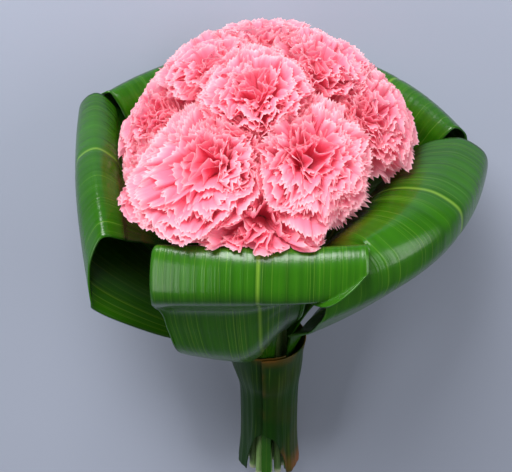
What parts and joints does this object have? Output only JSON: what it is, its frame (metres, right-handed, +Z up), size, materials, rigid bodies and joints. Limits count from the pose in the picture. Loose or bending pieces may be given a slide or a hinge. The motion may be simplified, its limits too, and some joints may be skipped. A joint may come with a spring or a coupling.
{
  "type": "carnation bouquet",
  "caption": "Hand-tied posy of ruffled pink carnations in a collar of looped broad green leaves, with a short leaf-wrapped handle, lying down.",
  "frame": {"origin": "on the surface the bouquet lies on, under the middle of its bounding box", "axes": "+Z up away from the surface; +Y from the cut stem ends towards the flowers; +X to the right for someone looking down on it with the flowers away from them"},
  "size_m": [0.2332, 0.3062, 0.1968],
  "materials": {
    "petals": "matte",
    "calyx": "satin",
    "stem": "satin",
    "leaf": "gloss",
    "wrap_leaf": "satin",
    "twine": "matte"
  },
  "bodies": {
    "root": {"bloom_01": "petals", "calyx_01": "calyx", "stem_01": "stem", "bloom_02": "petals", "calyx_02": "calyx", "stem_02": "stem", "bloom_03": "petals", "calyx_03": "calyx", "stem_03": "stem", "bloom_04": "petals", "calyx_04": "calyx", "stem_04": "stem", "bloom_05": "petals", "calyx_05": "calyx", "stem_05": "stem", "bloom_06": "petals", "calyx_06": "calyx", "stem_06": "stem", "bloom_07": "petals", "calyx_07": "calyx", "stem_07": "stem", "bloom_08": "petals", "calyx_08": "calyx", "stem_08": "stem", "bloom_09": "petals", "calyx_09": "calyx", "stem_09": "stem", "bloom_10": "petals", "calyx_10": "calyx", "stem_10": "stem", "bloom_11": "petals", "calyx_11": "calyx", "stem_11": "stem", "bloom_12": "petals", "calyx_12": "calyx", "stem_12": "stem", "bloom_13": "petals", "calyx_13": "calyx", "stem_13": "stem", "collar_leaf_front": "leaf", "collar_leaf_right": "leaf", "collar_leaf_back_right": "leaf", "collar_leaf_back_left": "leaf", "collar_leaf_left": "leaf", "handle_wrap_leaf": "wrap_leaf", "binding_twine": "twine"}
  },
  "joints": []
}
